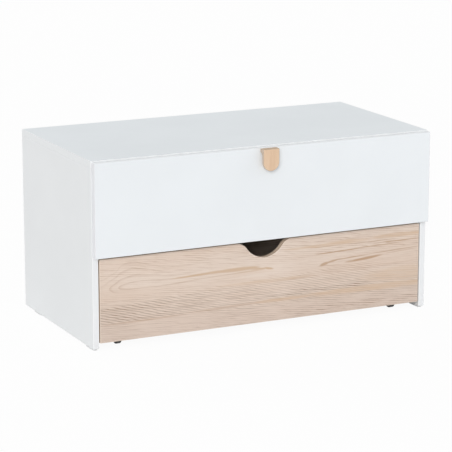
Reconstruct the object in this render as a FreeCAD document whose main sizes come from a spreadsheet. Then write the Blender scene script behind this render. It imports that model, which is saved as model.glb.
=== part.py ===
import FreeCAD, Part
import math
import os
import Sketcher
from FreeCAD import Placement, Rotation, Vector

# Modular dresser: a white carcass with an overlay drawer on ball runners above
# and a wood drawer that rolls on castors below.
# Frame: +Z up, X along the width, the fronts face -Y. The origin is on the floor
# under the middle of the overall box. Lengths are in millimetres.

doc = FreeCAD.newDocument("modular_dresser")
sheet = doc.addObject("Spreadsheet::Sheet", "Sizes")
aliases = []


class Size:
    """A length that carries its formula over the sheet's cells and its value."""

    def __init__(self, formula, value):
        self.formula = formula
        self.value = value

    def joined(self, sign, other, value):
        return Size(f"({self.formula} {sign} {other.formula})", value)

    def __add__(self, other):
        other = as_size(other)
        return self.joined("+", other, self.value + other.value)

    def __sub__(self, other):
        other = as_size(other)
        return self.joined("-", other, self.value - other.value)

    def __mul__(self, other):
        other = as_size(other)
        return self.joined("*", other, self.value * other.value)

    def __truediv__(self, other):
        other = as_size(other)
        return self.joined("/", other, self.value / other.value)

    def __radd__(self, other):
        return as_size(other) + self

    def __rsub__(self, other):
        return as_size(other) - self

    def __rmul__(self, other):
        return as_size(other) * self

    def __neg__(self):
        return self * -1


def as_size(length):
    """A plain number or a Size, as a Size."""
    if isinstance(length, Size):
        return length
    return Size(f"({length})", length)


def size(alias, value):
    """Write one driving dimension into the sheet and return it."""
    aliases.append(alias)
    row = len(aliases)
    sheet.set(f"A{row}", alias)
    sheet.set(f"B{row}", str(value))
    sheet.setAlias(f"B{row}", alias)
    return Size(f"Sizes.{alias}", value)


# Carcass
WIDTH = size("overall_width", 930)
DEPTH = size("carcass_depth", 462.5)
HEIGHT = size("overall_height", 470)
BOARD = size("board", 16)
ARRIS = size("arris_radius", 0.8)
FIT = size("fitting_clearance", 0.1)
SHELF_LOW = size("shelf_underside", 230)
RAIL_LOW = size("rail_underside", 10)
RAIL_TALL = size("rail_height", 80)
BACK = size("back_board", 3)
BACK_INSET = size("back_inset", 8)
BACK_LOW = size("back_underside", 10)
BACK_PLAY = size("back_clearance", 0.5)
GROOVE = size("groove_depth", 6)
GLIDE_LONG = size("glide_length", 50)
GLIDE_WIDE = size("glide_width", 12)
GLIDE_TALL = size("glide_height", 4)
GLIDE_FRONT = size("front_glide_setback", 30)
GLIDE_REAR = size("rear_glide_setback", 382)
PIN = size("glide_pin_diameter", 4)
PIN_LONG = size("glide_pin_length", 10)
PIN_PITCH = size("glide_pin_pitch", 24)

# Fittings
CAM = size("cam_diameter", 15)
CAM_DEEP = size("cam_depth", 12.5)
CAM_BACKSET = size("cam_backset", 24)
BOLT = size("bolt_diameter", 6)
BOLT_GRIP = size("bolt_grip", 11)
SMALL_CAM = size("small_cam_diameter", 12)
SMALL_CAM_DEEP = size("small_cam_depth", 9.5)
SMALL_BOLT = size("small_bolt_diameter", 5)
SLOT_WIDE = size("cam_slot_width", 1.6)
SLOT_DEEP = size("cam_slot_depth", 2)
DOWEL = size("dowel_diameter", 8)
DOWEL_LONG = size("dowel_length", 30)
DOWEL_GRIP = size("dowel_grip", 12)
FIRST_CAM = size("first_cam_setback", 50)
LAST_CAM = size("last_cam_setback", 60)
DOWEL_STEP = size("cam_to_dowel", 32)
BOX_SCREW_HEAD = size("box_screw_head_diameter", 9.5)
BOX_SCREW_SINK = size("box_screw_head_height", 4)
BOX_SCREW = size("box_screw_diameter", 6.5)
BOX_SCREW_LONG = size("box_screw_length", 50)

# Upper drawer
FRONT_GAP = size("overlay_gap", 1.5)
FRONT_INSET = size("overlay_inset", 2)
FRONT_LOW = size("upper_front_underside", 233)
BOX_BOARD = size("upper_box_board", 12)
BOX_LOW = size("upper_box_underside", 262)
BOX_TALL = size("upper_box_height", 160)
BOX_DEEP = size("upper_box_depth", 415)
BOTTOM = size("upper_bottom_board", 5)
BOTTOM_RISE = size("upper_bottom_rise", 10)
CAM_RISE = size("upper_cam_rise", 40)
CAM_PITCH = size("upper_cam_pitch", 80)
BUMPER = size("bumper_diameter", 8)
BUMPER_TALL = size("bumper_thickness", 1.2)
BUMPER_IN = size("bumper_setback", 32)
PULL_WIDE = size("pull_width", 44)
PULL_TALL = size("pull_height", 55)
PULL_REACH = size("pull_reach", 18)
PULL_DROP = size("pull_drop", 2)
PULL_BLOCK = size("pull_block_height", 9)
PULL_GAP = size("pull_finger_gap", 10)
PULL_ROUND = size("pull_front_round", 2)
PULL_INNER_ROUND = size("pull_inner_round", 1.2)
OVERRUN = size("cutter_overrun", 1)
PULL_SCREW = size("pull_screw_diameter", 3.5)
PULL_SCREW_HEAD = size("pull_screw_head_diameter", 7)
PULL_SCREW_SINK = size("pull_screw_head_height", 3)
PULL_SCREW_BITE = size("pull_screw_bite", 10)
PULL_SCREW_PITCH = size("pull_screw_pitch", 26)

# Ball runners
RUNNER_LONG = size("runner_length", 400)
RUNNER_SETBACK = size("runner_setback", 3)
RUNNER_MID = size("runner_centre_height", 330)
RUNNER_TALL = size("runner_height", 45)
RUNNER_SPACE = size("runner_space", 13)
WALL = size("runner_wall", 1.2)
PLAY = size("runner_play", 0.4)
FLANGE = size("runner_flange", 9.5)
MIDDLE_FLANGE = size("runner_middle_flange", 11.8)
LIP = size("runner_lip", 3.5)
RACE = size("ball_race", 4.4)
BALL = size("ball_diameter", 3.6)
BALL_PITCH = size("ball_pitch", 24)
CAGE_WALL = size("cage_wall", 0.6)
CAGE_FLANGE = size("cage_flange", 6)
CAGE_LONG = size("cage_length", 190)
CAGE_REAR = size("cage_setback", 105)
BALLS_PER_ROW = 8
RUNNER_SCREW = size("runner_screw_diameter", 3.2)
RUNNER_SCREW_HEAD = size("runner_screw_head_diameter", 6.4)
RUNNER_SCREW_TALL = size("runner_screw_head_height", 1.8)
RUNNER_SCREW_LONG = size("runner_screw_length", 11)
RUNNER_SCREW_FIRST = size("first_runner_screw", 35)
RUNNER_SCREW_PITCH = size("runner_screw_pitch", 160)
SCREWS_PER_RUNNER = 3

# Lower drawer
WOOD_LOW = size("lower_front_underside", 17)
WOOD_HIGH = size("lower_front_top", 226)
WOOD_GAP = size("lower_front_gap", 3)
SCOOP_TOP = size("scoop_top_width", 117)
SCOOP_BOTTOM = size("scoop_bottom_width", 63)
SCOOP_DEEP = size("scoop_depth", 41.5)
SCOOP_ROUND = size("scoop_bottom_radius", 57.5)
SCOOP_LIP = size("scoop_top_radius", 30)
CRATE_GAP = size("lower_box_side_gap", 8)
CRATE_LOW = size("lower_box_underside", 30)
CRATE_TALL = size("lower_box_height", 175)
CRATE_DEEP = size("lower_box_depth", 404)
CRATE_CAM_RISE = size("lower_cam_rise", 60)
CRATE_SCREW_RISE = size("lower_screw_rise", 50)
FLOOR_SCREW_PITCH = size("lower_floor_screw_pitch", 220)

# Castors
CASTOR_TALL = size("castor_height", 46)
CASTOR_OUT = size("castor_offset", 386)
CASTOR_IN = size("castor_setback", 40)
PLATE = size("castor_plate_thickness", 2.5)
PLATE_WIDE = size("castor_plate_width", 42)
PLATE_LONG = size("castor_plate_length", 48)
CHEEK = size("castor_cheek_thickness", 2.5)
CHEEK_LONG = size("castor_cheek_length", 32)
CHEEK_PLAY = size("castor_cheek_play", 0.6)
BOSS = size("castor_boss_diameter", 16)
AXLE = size("axle_diameter", 6)
AXLE_PLAY = size("axle_radial_play", 0.05)
AXLE_HEAD = size("axle_head_diameter", 9)
AXLE_HEAD_TALL = size("axle_head_height", 1.5)
WHEEL = size("wheel_diameter", 36)
WHEEL_WIDE = size("wheel_width", 16)
HUB = size("wheel_hub_diameter", 13)
RIM = size("wheel_rim_inner_diameter", 26)
WEB = size("wheel_web_thickness", 9)
WHEEL_STEP = size("wheel_draft_step", 1)
TREAD_ROUND = size("wheel_tread_round", 3)
CASTOR_SCREW = size("castor_screw_diameter", 4)
CASTOR_SCREW_HEAD = size("castor_screw_head_diameter", 7.5)
CASTOR_SCREW_TALL = size("castor_screw_head_height", 2.4)
CASTOR_SCREW_LONG = size("castor_screw_length", 14)
CASTOR_SCREW_ACROSS = size("castor_screw_pitch_across", 32)
CASTOR_SCREW_ALONG = size("castor_screw_pitch_along", 38)
doc.recompute()

# Planes and half widths that several pieces share
REAR = (DEPTH + FRONT_GAP + BOARD + PULL_REACH) / 2
FRONT = REAR - DEPTH
INNER = WIDTH / 2 - BOARD
TOP_LOW = HEIGHT - BOARD
BACK_FACE = REAR - BACK_INSET - BACK
OVERLAY_BACK = FRONT - FRONT_GAP
OVERLAY_FACE = OVERLAY_BACK - BOARD
BOX_HALF = INNER - RUNNER_SPACE
BOX_REAR = OVERLAY_BACK + BOX_DEEP
WOOD_BACK = FRONT + BOARD
CRATE_HALF = INNER - CRATE_GAP
CRATE_REAR = WOOD_BACK + CRATE_DEEP
SIDES = (("left", -1), ("right", 1))

DIRECTIONS = {
    "+X": Rotation(Vector(0, 1, 0), 90),
    "-X": Rotation(Vector(0, 1, 0), -90),
    "+Y": Rotation(Vector(1, 0, 0), -90),
    "-Y": Rotation(Vector(1, 0, 0), 90),
    "+Z": Rotation(),
    "-Z": Rotation(Vector(1, 0, 0), 180),
}
NEAR = 1e-4

subparts = []
drilled = {}


def bind(obj, path, length):
    """Bind one property of an object to the sheet."""
    obj.setExpression(path, as_size(length).formula)


def place(obj, point, way="+Z"):
    """Put an object at a point bound to the sheet, with its own Z axis along a way."""
    obj.Placement = Placement(Vector(), DIRECTIONS[way])
    for axis, coordinate in zip("xyz", point):
        bind(obj, f"Placement.Base.{axis}", coordinate)


def outward(sign):
    return "+X" if sign > 0 else "-X"


def opposite(way):
    return ("-" if way[0] == "+" else "+") + way[1]


def shifted(point, way, distance):
    """A point moved a distance along a way such as -X."""
    moved = list(point)
    index = "XYZ".index(way[1])
    moved[index] = moved[index] + distance if way[0] == "+" else moved[index] - distance
    return tuple(moved)


def side_low(sign, inner, thickness):
    """Low X of a piece that lies from inner to inner + thickness on one side."""
    return as_size(inner) if sign > 0 else -(inner + thickness)


def box(name, low, spans):
    """Block with its low corner at a point and its spans along X, Y and Z."""
    block = doc.addObject("Part::Box", name)
    for path, span in zip(("Length", "Width", "Height"), spans):
        bind(block, path, span)
    place(block, low)
    return block


def rod(name, start, way, diameter, length):
    """Cylinder that starts at a point and runs a given way."""
    cylinder = doc.addObject("Part::Cylinder", name)
    bind(cylinder, "Radius", as_size(diameter) / 2)
    bind(cylinder, "Height", length)
    place(cylinder, start, way)
    return cylinder


def cone(name, start, way, diameter, end_diameter, length):
    """Truncated cone that starts at a point and runs a given way."""
    taper = doc.addObject("Part::Cone", name)
    bind(taper, "Radius1", diameter / 2)
    bind(taper, "Radius2", end_diameter / 2)
    bind(taper, "Height", length)
    place(taper, start, way)
    return taper


def fused(name, shapes):
    union = doc.addObject("Part::MultiFuse", name)
    union.Shapes = shapes
    return union


def cut(name, base, tools):
    """Base less its tools."""
    result = doc.addObject("Part::Cut", name)
    result.Base = base
    result.Tool = tools[0] if len(tools) == 1 else fused(name + "_tools", tools)
    return result


def rounded(name, block):
    """Block with every edge eased by the arris radius."""
    eased = doc.addObject("Part::Fillet", name)
    eased.Base = block
    eased.Edges = [(edge, ARRIS.value, ARRIS.value) for edge in range(1, 13)]
    return eased


def finished(obj):
    """Keep an object as one sub-part of the dresser."""
    subparts.append(obj)
    return obj


def grouped(name, members):
    """Like pieces that share one node, each still a solid of its own."""
    compound = doc.addObject("Part::Compound", name)
    compound.Links = members
    return finished(compound)


def drill(tools, *boards):
    """Note tools that cut into the named boards."""
    for board in boards:
        drilled.setdefault(board, []).extend(tools)


def machined(label, blank):
    """A board with all the holes and grooves that were noted for it."""
    return finished(cut(label, blank, drilled[label]))


def attached_sketch(body, name, plane):
    """Empty sketch on one of the body's own origin planes."""
    sketch = body.newObject("Sketcher::SketchObject", name)
    support = [feature for feature in body.Origin.OriginFeatures if feature.Role == plane]
    sketch.AttachmentSupport = (support[0], [""])
    sketch.MapMode = "FlatFace"
    return sketch


def pin(sketch, geometry, point, corner):
    """Bind the place of one sketch point to the sheet."""
    for kind, coordinate in zip(("DistanceX", "DistanceY"), corner):
        if coordinate is None:
            continue
        coordinate = as_size(coordinate)
        index = sketch.addConstraint(
            Sketcher.Constraint(kind, -1, 1, geometry, point, coordinate.value))
        sketch.setExpression(f"Constraints[{index}]", coordinate.formula)


def as_vector(corner):
    return Vector(as_size(corner[0]).value, as_size(corner[1]).value, 0)


def outline(body, name, plane, corners):
    """Closed straight-sided outline with every corner bound to the sheet."""
    sketch = attached_sketch(body, name, plane)
    count = len(corners)
    for index, corner in enumerate(corners):
        following = corners[(index + 1) % count]
        sketch.addGeometry(Part.LineSegment(as_vector(corner), as_vector(following)))
    for index in range(count):
        sketch.addConstraint(
            Sketcher.Constraint("Coincident", index, 2, (index + 1) % count, 1))
    for index, corner in enumerate(corners):
        pin(sketch, index, 1, corner)
    return sketch


def pad(body, sketch, length):
    feature = body.newObject("PartDesign::Pad", body.Name + "_pad")
    feature.Profile = sketch
    bind(feature, "Length", length)
    return feature


def extruded(name, plane, corners, length, at):
    """Body of one padded outline, placed at a point."""
    body = doc.addObject("PartDesign::Body", name)
    pad(body, outline(body, name + "_outline", plane, corners), length)
    place(body, at)
    return body


def fillet(body, base, radius, chosen):
    """Round the edges of a body's feature that a test chooses."""
    doc.recompute()
    names = [f"Edge{index}" for index, edge in enumerate(base.Shape.Edges, start=1) if chosen(edge)]
    feature = body.newObject("PartDesign::Fillet", body.Name + "_round")
    feature.Base = (base, names)
    bind(feature, "Radius", radius)
    return feature


def in_plane_y(edge, y):
    """True for an edge that lies in the plane at y."""
    low, high = edge.BoundBox.YMin, edge.BoundBox.YMax
    return abs(low - y) < NEAR and abs(high - y) < NEAR


def along_y_at(edge, x, z):
    """True for an edge that runs along Y through x, z."""
    bounds = edge.BoundBox
    return max(bounds.XMax - x, x - bounds.XMin, bounds.ZMax - z, z - bounds.ZMin) < NEAR


def stepped(name, start, way, head, head_long, shank, shank_long, spread=0):
    """Screw whose head comes first, then its shank; spread widens it into its hole."""
    parts = [
        rod(name + "_head", start, way, head + 2 * spread, head_long),
        rod(name + "_shank", shifted(start, way, head_long), way, shank + 2 * spread, shank_long),
    ]
    return fused(name, parts)


def cam_joint(name, point, toward, face, boards, small=False):
    """Cam lock in one board and the bolt that it draws into the next board.

    The bolt crosses the joint at point and runs toward the board that it is screwed into.
    The lock shows on the face of the other board.
    """
    thickness = BOX_BOARD if small else BOARD
    diameter = SMALL_CAM if small else CAM
    deep = SMALL_CAM_DEEP if small else CAM_DEEP
    shaft = SMALL_BOLT if small else BOLT
    centre = shifted(point, opposite(toward), CAM_BACKSET)
    mouth = shifted(centre, face, thickness / 2)
    inside = opposite(face)
    reach = CAM_BACKSET + BOLT_GRIP
    bore = rod(name + "_bore", centre, toward, shaft + 2 * FIT, reach)
    pocket = rod(name + "_pocket", mouth, inside, diameter + 2 * FIT, deep + FIT)
    drill([bore, pocket], *boards)

    slots = []
    for turn, spans in enumerate(slot_spans(face, diameter)):
        low = tuple(middle - span / 2 for middle, span in zip(mouth, spans))
        slots.append(box(f"{name}_slot_{turn}", low, spans))
    blank = rod(name + "_blank", mouth, inside, diameter, deep)
    lock = cut(name + "_lock", blank, [bore] + slots)
    bolt = rod(name + "_bolt", centre, toward, shaft, reach)
    return lock, bolt


def slot_spans(face, diameter):
    """Spans along X, Y and Z of the two slots of a cam's cross."""
    across = [axis for axis in range(3) if axis != "XYZ".index(face[1])]
    for longer in across:
        spans = [2 * SLOT_DEEP, 2 * SLOT_DEEP, 2 * SLOT_DEEP]
        for axis in across:
            spans[axis] = diameter / 2 if axis == longer else SLOT_WIDE
        yield tuple(spans)


def dowel_joint(name, point, toward, boards):
    """Dowel across a joint, with its longer end in the board that it points out of."""
    start = shifted(point, opposite(toward), DOWEL_LONG - DOWEL_GRIP)
    hole_start = shifted(start, opposite(toward), FIT)
    drill([rod(name + "_hole", hole_start, toward, DOWEL + 2 * FIT, DOWEL_LONG + 2 * FIT)], *boards)
    return rod(name, start, toward, DOWEL, DOWEL_LONG)


# Carcass boards before machining. The top lies on the two sides.
top_blank = rounded("top_round", box("top_block", (-WIDTH / 2, FRONT, TOP_LOW), (WIDTH, DEPTH, BOARD)))
side_blanks = {}
for side, sign in SIDES:
    low = (side_low(sign, INNER, BOARD), FRONT, GLIDE_TALL)
    block = box(f"{side}_side_block", low, (BOARD, DEPTH, TOP_LOW - GLIDE_TALL))
    side_blanks[side] = rounded(f"{side}_side_round", block)
shelf_deep = BACK_FACE - BACK_PLAY - FRONT
shelf_blank = box("shelf_block", (-INNER, FRONT, SHELF_LOW), (2 * INNER, shelf_deep, BOARD))
rail_face = BACK_FACE - BACK_PLAY - BOARD
rail_blank = box("rail_block", (-INNER, rail_face, RAIL_LOW), (2 * INNER, BOARD, RAIL_TALL))

# Cam locks, bolts and dowels of the carcass
carcass_fittings = []
carcass_dowels = []
for side, sign in SIDES:
    panel = f"{side}_side_panel"
    out = outward(sign)
    rows = (("front", FRONT + FIRST_CAM, 1), ("rear", REAR - LAST_CAM, -1))
    for row, y, step in rows:
        top_point = (sign * (INNER + BOARD / 2), y, TOP_LOW)
        shelf_point = (sign * INNER, y, SHELF_LOW + BOARD / 2)
        name = f"{side}_{row}"
        boards = (panel, "top_panel")
        carcass_fittings.append(cam_joint(f"{name}_top_cam", top_point, "+Z", opposite(out), boards))
        spot = shifted(top_point, "+Y", step * DOWEL_STEP)
        carcass_dowels.append(dowel_joint(f"{name}_top_dowel", spot, "+Z", boards))
        boards = (panel, "middle_shelf")
        carcass_fittings.append(cam_joint(f"{name}_shelf_cam", shelf_point, out, "-Z", boards))
        spot = shifted(shelf_point, "+Y", step * DOWEL_STEP)
        carcass_dowels.append(dowel_joint(f"{name}_shelf_dowel", spot, out, boards))
    boards = (panel, "rear_rail")
    rail_point = (sign * INNER, rail_face + BOARD / 2, RAIL_LOW + RAIL_TALL * 2 / 3)
    carcass_fittings.append(cam_joint(f"{side}_rail_cam", rail_point, out, "-Y", boards))
    spot = shifted(rail_point, "-Z", DOWEL_STEP)
    carcass_dowels.append(dowel_joint(f"{side}_rail_dowel", spot, out, boards))
grouped("carcass_cams", [lock for lock, bolt in carcass_fittings])
grouped("carcass_bolts", [bolt for lock, bolt in carcass_fittings])
grouped("carcass_dowels", carcass_dowels)

# The thin back slides up grooves in the sides into a groove in the top.
groove_wide = BACK + 2 * FIT
groove_y = BACK_FACE - FIT
for side, sign in SIDES:
    low = (side_low(sign, INNER, GROOVE), groove_y, GLIDE_TALL)
    groove = box(f"{side}_back_groove", low, (GROOVE, groove_wide, TOP_LOW - GLIDE_TALL))
    drill([groove], f"{side}_side_panel")
groove_span = 2 * (INNER + GROOVE)
low = (-INNER - GROOVE, groove_y, TOP_LOW)
drill([box("top_back_groove", low, (groove_span, groove_wide, GROOVE))], "top_panel")
low = (-INNER - GROOVE + BACK_PLAY, BACK_FACE, BACK_LOW)
back_spans = (groove_span - 2 * BACK_PLAY, BACK, TOP_LOW + GROOVE - BACK_PLAY - BACK_LOW)
finished(box("back_panel", low, back_spans))

# Floor glides, each with two pins pressed up into the side panel's lower edge
for side, sign in SIDES:
    for row, setback in (("front", GLIDE_FRONT), ("rear", GLIDE_REAR)):
        label = f"{row}_{side}_glide"
        x = sign * (INNER + BOARD / 2)
        y = FRONT + setback
        run = GLIDE_LONG - GLIDE_WIDE
        low = (x - GLIDE_WIDE / 2, y - run / 2, 0)
        shapes = [box(label + "_bar", low, (GLIDE_WIDE, run, GLIDE_TALL))]
        for end in (-1, 1):
            round_spot = (x, y + end * run / 2, as_size(0))
            shapes.append(rod(f"{label}_end_{end + 1}", round_spot, "+Z", GLIDE_WIDE, GLIDE_TALL))
            pin_spot = (x, y + end * PIN_PITCH / 2, GLIDE_TALL)
            shapes.append(rod(f"{label}_pin_{end + 1}", pin_spot, "+Z", PIN, PIN_LONG))
            hole = rod(f"{label}_hole_{end + 1}", pin_spot, "+Z", PIN + 2 * FIT, PIN_LONG + FIT)
            drill([hole], f"{side}_side_panel")
        finished(fused(label, shapes))

# Ball runners. Depth into the runner is measured from the carcass side toward the drawer:
# the outer channel holds the outer cage, the middle channel, the inner cage and the inner channel.
OUTER_CAGE_IN = WALL + PLAY
MIDDLE_IN = OUTER_CAGE_IN + CAGE_WALL + PLAY
INNER_CAGE_IN = MIDDLE_IN + WALL + PLAY
INNER_IN = INNER_CAGE_IN + CAGE_WALL + PLAY
OUTER_HALF = RUNNER_TALL / 2
MIDDLE_HALF = OUTER_HALF - WALL - RACE
INNER_HALF = MIDDLE_HALF - WALL - RACE
RUNNER_REAR = FRONT + RUNNER_SETBACK + RUNNER_LONG
CAGE_END = RUNNER_REAR - CAGE_REAR


def lipped_channel(depth_from, depth_to, half):
    """Corners of a channel whose two flanges end in turned-in lips; depth, height."""
    wall = depth_from + WALL
    lip = depth_to - WALL
    inside = half - WALL
    upper = [(depth_from, half), (depth_to, half), (depth_to, half - LIP), (lip, half - LIP),
             (lip, inside), (wall, inside)]
    return upper + [(depth, -height) for depth, height in reversed(upper)]


def plain_channel(web_from, web_to, flange_to, half, wall):
    """Corners of a channel with straight flanges; depth, height."""
    upper = [(web_from, half), (flange_to, half), (flange_to, half - wall), (web_to, half - wall)]
    return upper + [(depth, -height) for depth, height in reversed(upper)]


def runner_length(name, sign, corners, long, rear):
    """Channel section run along Y on one side of the dresser."""
    points = [(sign * (INNER - depth), height) for depth, height in corners]
    return extruded(name, "XZ_Plane", points, long, (as_size(0), rear, RUNNER_MID))


def ball_cage(label, sign, depth, half):
    """Thin channel with two rows of balls, each ball loose in its own hole."""
    strip = plain_channel(depth, depth + CAGE_WALL, depth + CAGE_FLANGE, half + CAGE_WALL / 2, CAGE_WALL)
    blank = runner_length(label + "_strip", sign, strip, CAGE_LONG, CAGE_END)
    ball_x = sign * (INNER - depth - CAGE_FLANGE / 2)
    first = CAGE_END - CAGE_LONG / 2 - BALL_PITCH * (BALLS_PER_ROW - 1) / 2
    balls = []
    holes = []
    for row, height in enumerate((half, -half)):
        for number in range(BALLS_PER_ROW):
            spot = (ball_x, first + number * BALL_PITCH, RUNNER_MID + height)
            for suffix, spread, kept in (("ball", 0, balls), ("hole", FIT, holes)):
                sphere = doc.addObject("Part::Sphere", f"{label}_{suffix}_{row}_{number}")
                bind(sphere, "Radius", BALL / 2 + spread)
                place(sphere, spot)
                kept.append(sphere)
    return grouped(label, [cut(label + "_cage", blank, holes)] + balls)


cabinet_screws = []
drawer_screws = []
for side, sign in SIDES:
    out = outward(sign)
    outer = runner_length(f"{side}_outer_channel", sign,
                          lipped_channel(as_size(0), FLANGE, OUTER_HALF), RUNNER_LONG, RUNNER_REAR)
    finished(runner_length(f"{side}_runner_middle", sign,
                           lipped_channel(MIDDLE_IN, MIDDLE_FLANGE, MIDDLE_HALF), RUNNER_LONG, RUNNER_REAR))
    inner_section = plain_channel(RUNNER_SPACE, RUNNER_SPACE - WALL, INNER_IN, INNER_HALF, WALL)
    inner = runner_length(f"{side}_inner_channel", sign, inner_section, RUNNER_LONG, RUNNER_REAR)
    ball_cage(f"{side}_outer_ball_cage", sign, OUTER_CAGE_IN, MIDDLE_HALF + RACE / 2)
    ball_cage(f"{side}_inner_ball_cage", sign, INNER_CAGE_IN, INNER_HALF + RACE / 2)

    outer_holes = []
    inner_holes = []
    for number in range(SCREWS_PER_RUNNER):
        y = FRONT + RUNNER_SETBACK + RUNNER_SCREW_FIRST + number * RUNNER_SCREW_PITCH
        name = f"{side}_cabinet_screw_{number}"
        face = (sign * (INNER - WALL), y, RUNNER_MID)
        seat = shifted(face, out, WALL)
        for suffix, spread in (("", 0), ("_hole", FIT)):
            head = cone(name + suffix + "_head", face, out, RUNNER_SCREW_HEAD + 2 * spread,
                        RUNNER_SCREW + 2 * spread, WALL)
            shank = rod(name + suffix + "_shank", seat, out, RUNNER_SCREW + 2 * spread, RUNNER_SCREW_LONG)
            screw = fused(name + suffix, [head, shank])
            (outer_holes if spread else cabinet_screws).append(screw)
        name = f"{side}_drawer_screw_{number}"
        seat = (sign * (BOX_HALF + WALL), y, RUNNER_MID)
        top = shifted(seat, out, RUNNER_SCREW_TALL)
        drawer_screws.append(stepped(name, top, opposite(out), RUNNER_SCREW_HEAD, RUNNER_SCREW_TALL,
                                     RUNNER_SCREW, RUNNER_SCREW_LONG))
        inner_holes.append(rod(name + "_hole", seat, opposite(out), RUNNER_SCREW + 2 * FIT,
                               RUNNER_SCREW_LONG))
    drill(outer_holes, f"{side}_side_panel")
    drill(inner_holes, f"upper_{side}_side")
    finished(cut(f"{side}_runner_outer", outer, outer_holes))
    finished(cut(f"{side}_runner_inner", inner, inner_holes))
grouped("runner_cabinet_screws", cabinet_screws)
grouped("runner_drawer_screws", drawer_screws)

for side, sign in SIDES:
    machined(f"{side}_side_panel", side_blanks[side])
machined("top_panel", top_blank)
machined("middle_shelf", shelf_blank)
machined("rear_rail", rail_blank)

# Upper drawer box, screwed and cammed to the overlay front
front_half = WIDTH / 2 - FRONT_INSET
front_high = HEIGHT - FRONT_INSET
front_corners = [(-front_half, FRONT_LOW), (front_half, FRONT_LOW),
                 (front_half, front_high), (-front_half, front_high)]
front_blank = extruded("upper_front_blank", "XZ_Plane", front_corners, BOARD,
                       (as_size(0), OVERLAY_BACK, as_size(0)))
fillet(front_blank, front_blank.Tip, ARRIS, lambda edge: True)

bottom_low = BOX_LOW + BOTTOM_RISE
bottom_groove = BOTTOM + 2 * FIT
box_inner = BOX_HALF - BOX_BOARD
upper_fittings = []
upper_back_screws = []
for side, sign in SIDES:
    label = f"upper_{side}_side"
    out = outward(sign)
    low = (side_low(sign, box_inner, BOX_BOARD), OVERLAY_BACK, BOX_LOW)
    blank = box(label + "_block", low, (BOX_BOARD, BOX_DEEP, BOX_TALL))
    low = (side_low(sign, box_inner, GROOVE), OVERLAY_BACK, bottom_low - FIT)
    drill([box(label + "_groove", low, (GROOVE, BOX_DEEP, bottom_groove))], label)
    for number in range(2):
        z = BOX_LOW + CAM_RISE + number * CAM_PITCH
        point = (sign * (BOX_HALF - BOX_BOARD / 2), OVERLAY_BACK, z)
        upper_fittings.append(cam_joint(f"{label}_cam_{number}", point, "-Y", opposite(out),
                                        (label, "upper_front"), small=True))
        spot = (sign * BOX_HALF, BOX_REAR - BOX_BOARD / 2, z)
        screw = (spot, opposite(out), BOX_SCREW_HEAD, BOX_SCREW_SINK, BOX_SCREW, BOX_SCREW_LONG)
        upper_back_screws.append(stepped(f"{label}_screw_{number}", *screw))
        drill([stepped(f"{label}_screw_hole_{number}", *screw, spread=FIT)], label, "upper_back")
    machined(label, blank)
grouped("upper_cams", [lock for lock, bolt in upper_fittings])
grouped("upper_bolts", [bolt for lock, bolt in upper_fittings])
grouped("upper_back_screws", upper_back_screws)

# The drawer bottom runs in grooves in the sides and the front, under the back board.
back_low = bottom_low + BOTTOM + FIT
back_block = box("upper_back_block", (-box_inner, BOX_REAR - BOX_BOARD, back_low),
                 (2 * box_inner, BOX_BOARD, BOX_LOW + BOX_TALL - back_low))
machined("upper_back", back_block)
bottom_half = box_inner + GROOVE - BACK_PLAY
bottom_front = OVERLAY_BACK - GROOVE + BACK_PLAY
finished(box("upper_bottom", (-bottom_half, bottom_front, bottom_low),
             (2 * bottom_half, BOX_REAR - bottom_front, BOTTOM)))
low = (-box_inner - GROOVE, OVERLAY_BACK - GROOVE, bottom_low - FIT)
drill([box("upper_front_groove", low, (2 * (box_inner + GROOVE), GROOVE, bottom_groove))], "upper_front")

# Rubber bumpers on the back of the overlay front meet the side panels' front edges.
bumpers = []
for side, sign in SIDES:
    for z in (FRONT_LOW + BUMPER_IN, front_high - BUMPER_IN):
        spot = (sign * (INNER + BOARD / 2), OVERLAY_BACK, z)
        bumpers.append(rod(f"{side}_bumper_{len(bumpers)}", spot, "+Y", BUMPER, BUMPER_TALL))
grouped("front_bumpers", bumpers)

# Pull: a beech tongue with a square top and a round lower end. A block at its top meets the
# front, and a cove below the block leaves a finger gap behind the lip.
def pull_face(body):
    """Outline of the pull seen from the front, from its top edge down to the round end."""
    half = PULL_WIDE / 2
    straight = PULL_TALL - half
    points = [(-half, 0), (half, 0), (half, -straight), (-half, -straight)]
    top_left, top_right, low_right, low_left = [as_vector(point) for point in points]
    end_circle = Part.Circle(Vector(0, -straight.value, 0), Vector(0, 0, 1), half.value)
    sketch = attached_sketch(body, "pull_face", "XZ_Plane")
    sketch.addGeometry(Part.LineSegment(top_left, top_right))
    sketch.addGeometry(Part.LineSegment(top_right, low_right))
    sketch.addGeometry(Part.LineSegment(low_left, top_left))
    sketch.addGeometry(Part.ArcOfCircle(end_circle, math.pi, 2 * math.pi))
    for joint in ((0, 2, 1, 1), (1, 2, 3, 2), (3, 1, 2, 1), (2, 2, 0, 1)):
        sketch.addConstraint(Sketcher.Constraint("Coincident", *joint))
    for (geometry, point), corner in zip(((0, 1), (1, 1), (3, 2), (3, 1)), points):
        pin(sketch, geometry, point, corner)
    pin(sketch, 3, 3, (None, -straight))
    return sketch


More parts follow.
